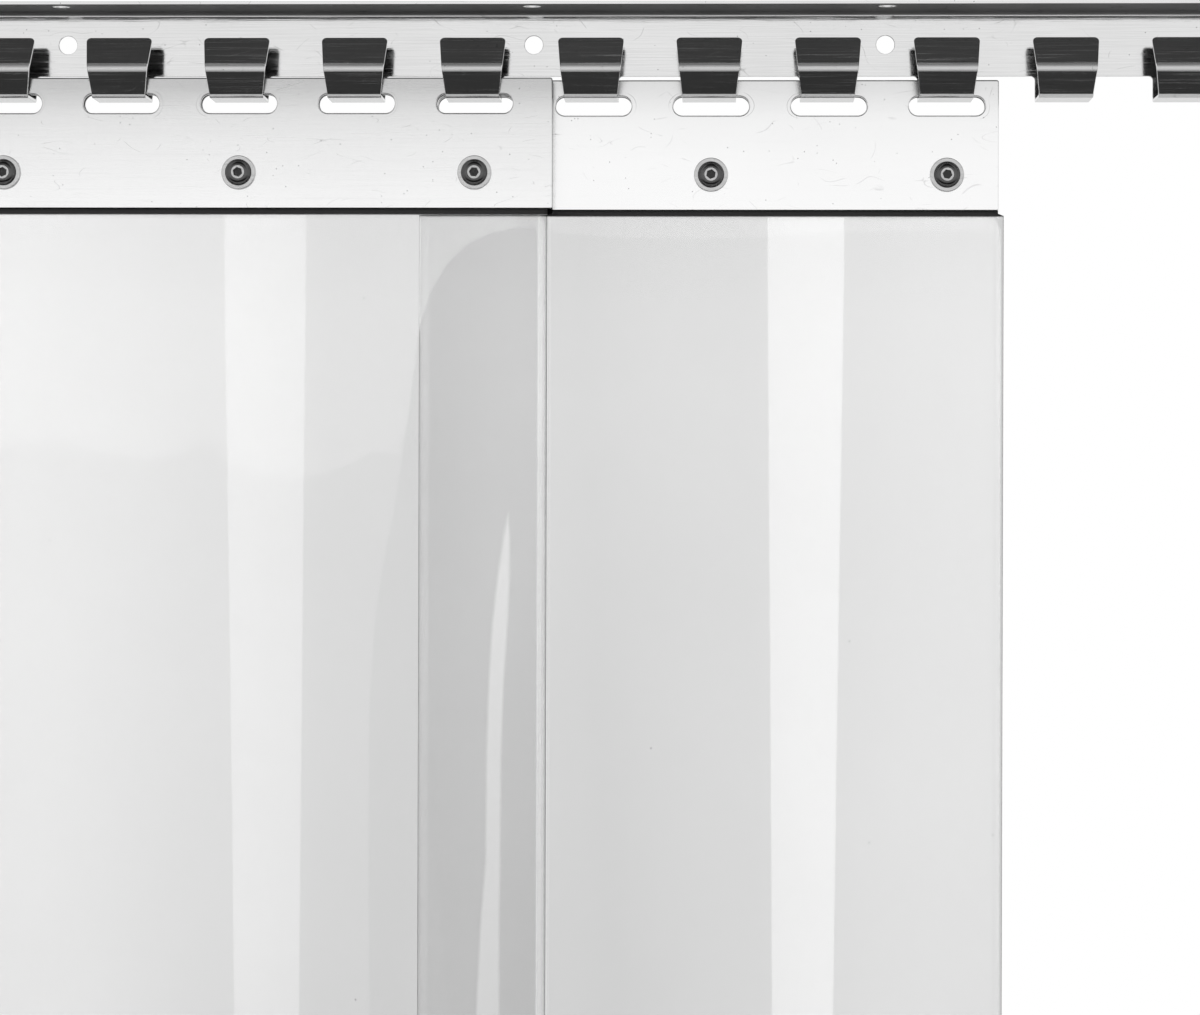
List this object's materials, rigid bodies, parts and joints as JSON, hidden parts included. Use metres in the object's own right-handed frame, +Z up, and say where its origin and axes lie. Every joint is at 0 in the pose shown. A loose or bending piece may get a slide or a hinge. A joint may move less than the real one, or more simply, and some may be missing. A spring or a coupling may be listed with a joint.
{
  "type": "strip curtain",
  "caption": "Clear flexible strips clamped between slotted steel plates that hang overlapping on the folded hooks of a sheet metal rail, to screen a doorway.",
  "frame": {"origin": "on the back face of the rail's web, at mid length, on the line of the fixing holes", "axes": "+X along the rail, +Y out of the web's back face towards the wall, +Z up; the hooks open to -Y"},
  "size_m": [0.984, 0.0222, 2.0258],
  "materials": {
    "stainless_steel": "brushed",
    "clear_pvc": "clear, soft gloss",
    "screw_steel": "polished",
    "bush_steel": "turned"
  },
  "bodies": {
    "rail": {"hook_rail": "stainless_steel"},
    "left_clamp": {"left_back_plate": "stainless_steel", "left_strip_head": "clear_pvc", "left_front_plate": "stainless_steel", "left_screw_1": "screw_steel", "left_screw_2": "screw_steel", "left_screw_3": "screw_steel", "left_screw_4": "screw_steel", "left_bush_1": "bush_steel", "left_bush_2": "bush_steel", "left_bush_3": "bush_steel", "left_bush_4": "bush_steel"},
    "left_hanging": {"left_strip": "clear_pvc"},
    "middle_clamp": {"middle_back_plate": "stainless_steel", "middle_strip_head": "clear_pvc", "middle_front_plate": "stainless_steel", "middle_screw_1": "screw_steel", "middle_screw_2": "screw_steel", "middle_screw_3": "screw_steel", "middle_screw_4": "screw_steel", "middle_bush_1": "bush_steel", "middle_bush_2": "bush_steel", "middle_bush_3": "bush_steel", "middle_bush_4": "bush_steel"},
    "middle_hanging": {"middle_strip": "clear_pvc"},
    "right_clamp": {"right_back_plate": "stainless_steel", "right_strip_head": "clear_pvc", "right_front_plate": "stainless_steel", "right_screw_1": "screw_steel", "right_screw_2": "screw_steel", "right_screw_3": "screw_steel", "right_bush_1": "bush_steel", "right_bush_2": "bush_steel", "right_bush_3": "bush_steel"},
    "right_hanging": {"right_strip": "clear_pvc"}
  },
  "joints": [
    {"name": "left_swing", "type": "hinge", "parent": "rail", "child": "left_clamp", "pos_m": [-0.3068, -0.00785, -0.0188], "axis": [1, 0, 0], "range_deg": [0, 12]},
    {"name": "left_flex", "type": "hinge", "parent": "left_clamp", "child": "left_hanging", "pos_m": [-0.3068, -0.0052, -0.0615], "axis": [1, 0, 0], "range_deg": [0, 70]},
    {"name": "middle_swing", "type": "hinge", "parent": "rail", "child": "middle_clamp", "pos_m": [-0.0608, -0.0112, -0.0188], "axis": [-1, 0, 0], "range_deg": [0, 12]},
    {"name": "middle_flex", "type": "hinge", "parent": "middle_clamp", "child": "middle_hanging", "pos_m": [-0.0608, -0.01385, -0.0615], "axis": [-1, 0, 0], "range_deg": [0, 70]},
    {"name": "right_swing", "type": "hinge", "parent": "rail", "child": "right_clamp", "pos_m": [0.1442, -0.00785, -0.0188], "axis": [1, 0, 0], "range_deg": [0, 12]},
    {"name": "right_flex", "type": "hinge", "parent": "right_clamp", "child": "right_hanging", "pos_m": [0.1442, -0.0052, -0.0615], "axis": [1, 0, 0], "range_deg": [0, 70]}
  ]
}
